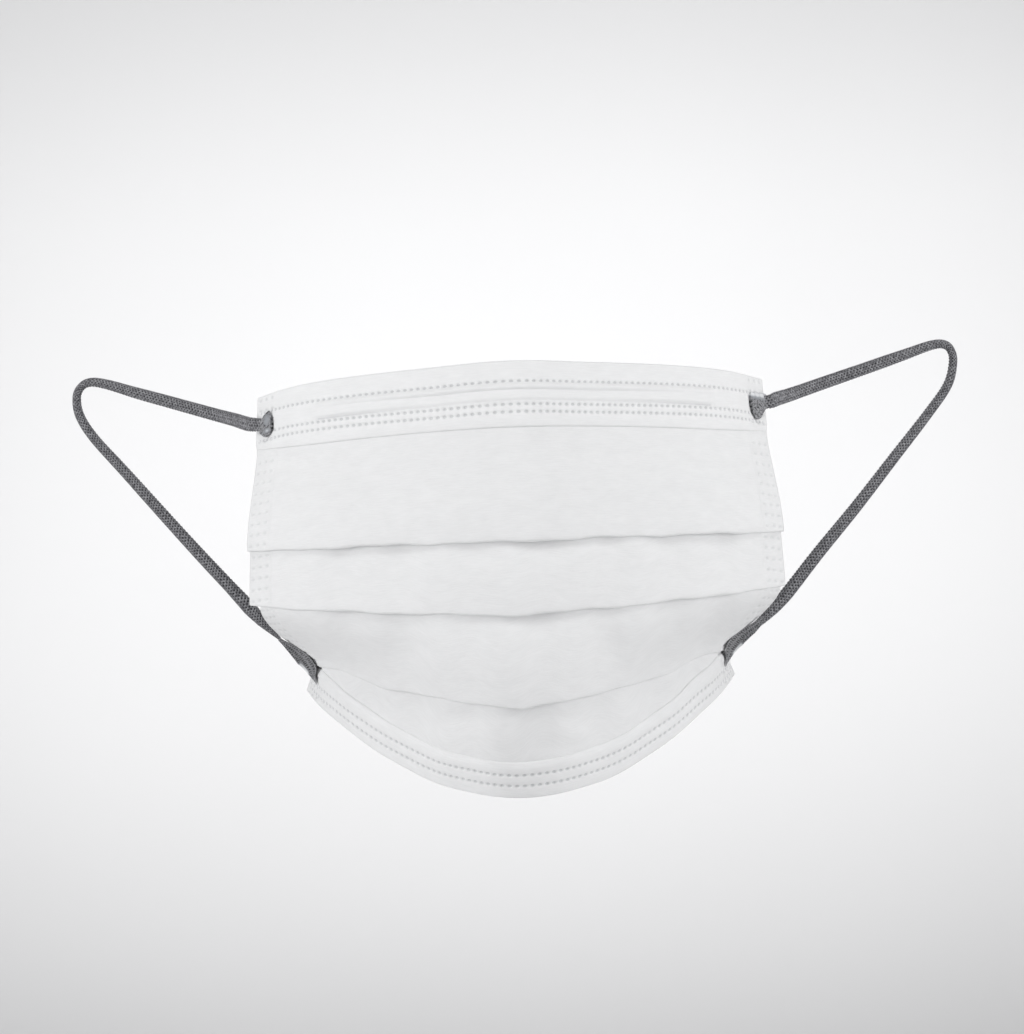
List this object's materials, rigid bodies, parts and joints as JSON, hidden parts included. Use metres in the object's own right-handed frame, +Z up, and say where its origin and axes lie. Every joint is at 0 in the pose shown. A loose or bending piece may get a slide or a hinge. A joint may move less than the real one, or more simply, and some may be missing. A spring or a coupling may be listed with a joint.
{
  "type": "surgical face mask",
  "caption": "Pleated nonwoven surgical face mask in its worn, cupped form, with hemmed edges, a nose wire and knitted elastic ear loops; open towards the face.",
  "frame": {"origin": "nose seat: the point of the cloth's inner face at the midline, at the height of the nose wire, where the mask sits on the bridge of the nose", "axes": "+X towards the right of the picture, across the mask; +Y back towards the face; +Z up, so the front faces -Y"},
  "size_m": [0.2438, 0.0965, 0.1165],
  "materials": {
    "nonwoven_cloth": "matt white spunbond nonwoven",
    "hem_cloth": "matt white spunbond nonwoven, folded and spot welded",
    "wire_plastic": "white plastic-coated flat wire",
    "knitted_elastic": "dark grey fine-knitted elastic",
    "melted_elastic": "dark grey elastic, pressed and half melted"
  },
  "bodies": {
    "root": {"mask_body": "nonwoven_cloth", "brow_hem": "hem_cloth", "chin_hem": "hem_cloth", "nose_wire": "wire_plastic", "ear_loop_left": "knitted_elastic", "ear_loop_right": "knitted_elastic", "loop_weld_left_upper": "melted_elastic", "loop_weld_left_lower": "melted_elastic", "loop_weld_right_upper": "melted_elastic", "loop_weld_right_lower": "melted_elastic"}
  },
  "joints": []
}
